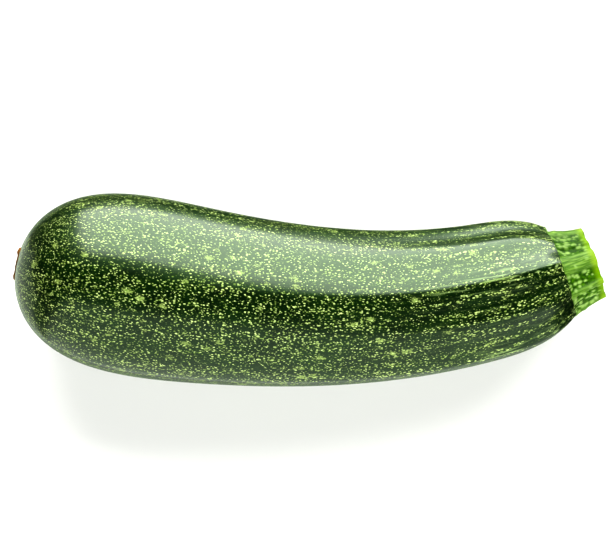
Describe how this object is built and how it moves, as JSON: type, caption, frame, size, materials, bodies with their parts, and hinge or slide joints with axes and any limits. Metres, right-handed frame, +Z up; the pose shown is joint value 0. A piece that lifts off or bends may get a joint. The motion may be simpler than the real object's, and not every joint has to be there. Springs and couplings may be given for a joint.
{
  "type": "courgette",
  "caption": "Whole speckled green courgette, gently bent, with a blunt blossom end and a short cut ribbed stem, lying on its side.",
  "frame": {"origin": "on the ground under the middle of the courgette's box", "axes": "+X along the courgette towards the cut stem, +Z up, and both ends bend towards +Y"},
  "size_m": [0.1736, 0.056, 0.0519],
  "materials": {
    "rind": "waxy speckled green rind",
    "stem_flesh": "fresh green stem, ribbed and finely warty, cut square",
    "cork": "dry orange-brown cork"
  },
  "bodies": {
    "root": {"fruit": "rind", "stem": "stem_flesh", "blossom_scar": "cork"}
  },
  "joints": []
}
